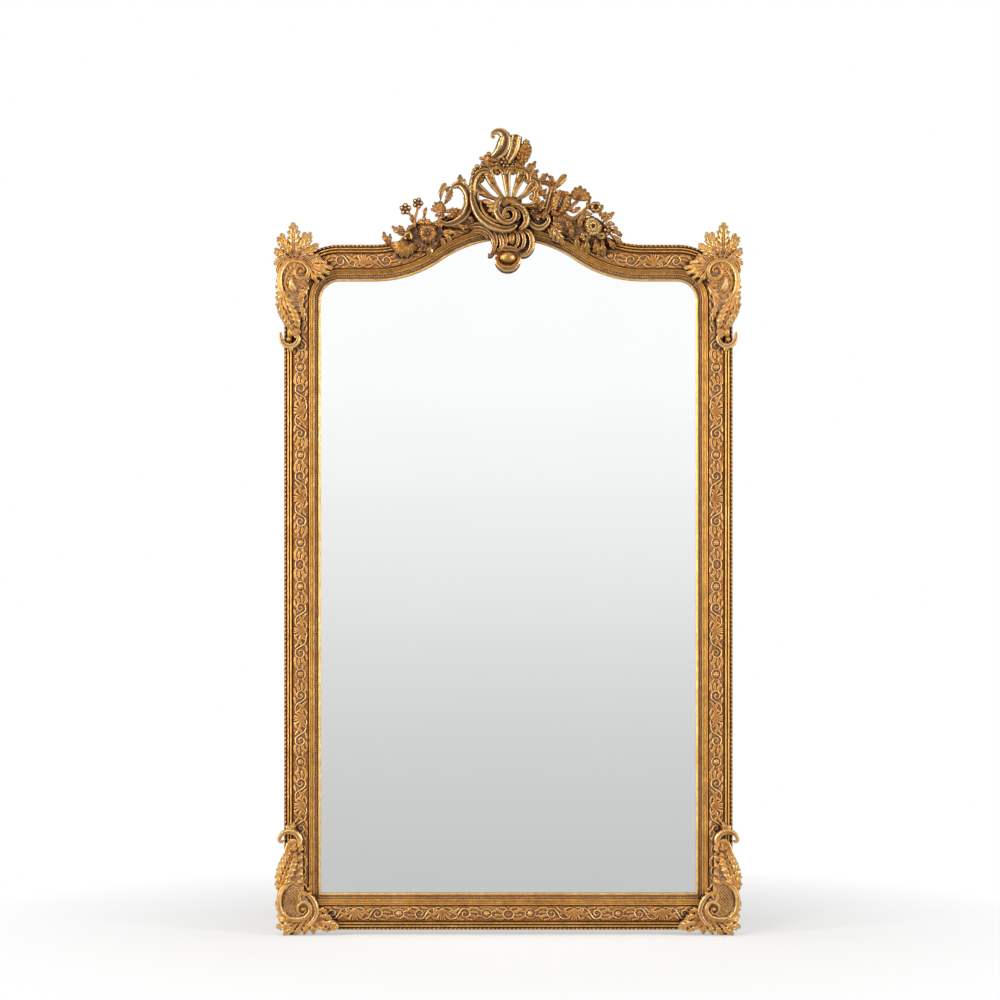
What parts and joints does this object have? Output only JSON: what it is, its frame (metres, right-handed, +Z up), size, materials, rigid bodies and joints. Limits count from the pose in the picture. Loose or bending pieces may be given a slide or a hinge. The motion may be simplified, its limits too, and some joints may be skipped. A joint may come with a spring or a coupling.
{
  "type": "full-length floor mirror",
  "caption": "Full-length floor mirror in a gilt moulded frame with a serpentine top, carved corner ornaments and a pierced foliate crest, with hanging rings at the back.",
  "frame": {"origin": "on the floor, under the middle of the bounding box", "axes": "+Z up, +Y from the glass to the wall behind, +X to the right of someone facing the glass"},
  "size_m": [1.0454, 0.1, 1.8],
  "materials": {
    "gilt_wood": "antiqued gold leaf over dark red clay, rubbed and toned",
    "gilt_casting": "cast composition, gold leaf with a pale wash in the recesses",
    "raw_pine": "stained pine, sawn and planed",
    "back_panel": "unfinished hardboard",
    "silvered_glass": "polished, silvered on the back",
    "foam": "thin packing felt",
    "steel": "zinc plated",
    "rubber": "matte"
  },
  "bodies": {
    "mirror": {"back_board": "back_panel", "bottom_carcass_rail": "raw_pine", "bottom_frieze": "gilt_wood", "bottom_left_corner_casting": "gilt_casting", "bottom_left_corner_iron": "steel", "bottom_moulding": "gilt_wood", "bottom_right_corner_casting": "gilt_casting", "bottom_right_corner_iron": "steel", "bottom_rope_edge": "gilt_wood", "bottom_sight_slip": "gilt_wood", "clip_screws": "steel", "crest_block": "raw_pine", "crest_bowl_scroll": "gilt_casting", "crest_cleat": "steel", "crest_left_scroll": "gilt_casting", "crest_left_spray": "gilt_casting", "crest_pendant": "gilt_casting", "crest_plume": "gilt_casting", "crest_right_scroll": "gilt_casting", "crest_right_spray": "gilt_casting", "crest_screws": "steel", "crest_shell": "gilt_casting", "foam_sheet": "foam", "foot_screws": "steel", "hanger_screws": "steel", "iron_screws": "steel", "left_carcass_stile": "raw_pine", "left_foot": "rubber", "left_frieze": "gilt_wood", "left_hanger_strap": "steel", "left_lower_bumper": "rubber", "left_moulding": "gilt_wood", "left_rope_edge": "gilt_wood", "left_sight_slip": "gilt_wood", "left_upper_bumper": "rubber", "mirror_glass": "silvered_glass", "offset_clips": "steel", "right_carcass_stile": "raw_pine", "right_foot": "rubber", "right_frieze": "gilt_wood", "right_hanger_strap": "steel", "right_lower_bumper": "rubber", "right_moulding": "gilt_wood", "right_rope_edge": "gilt_wood", "right_sight_slip": "gilt_wood", "right_upper_bumper": "rubber", "setting_blocks": "rubber", "top_carcass_rail": "raw_pine", "top_frieze": "gilt_wood", "top_left_corner_casting": "gilt_casting", "top_left_mending_plate": "steel", "top_moulding": "gilt_wood", "top_right_corner_casting": "gilt_casting", "top_right_mending_plate": "steel", "top_rope_edge": "gilt_wood", "top_sight_slip": "gilt_wood"},
    "left_ring": {"left_hanger_ring": "steel"},
    "right_ring": {"right_hanger_ring": "steel"}
  },
  "joints": [
    {"name": "left_ring_hinge", "type": "hinge", "parent": "mirror", "child": "left_ring", "pos_m": [-0.467, 0.0455, 1.221], "axis": [1, 0, 0], "range_deg": [0, 180]},
    {"name": "right_ring_hinge", "type": "hinge", "parent": "mirror", "child": "right_ring", "pos_m": [0.467, 0.0455, 1.221], "axis": [1, 0, 0], "range_deg": [0, 180]}
  ]
}
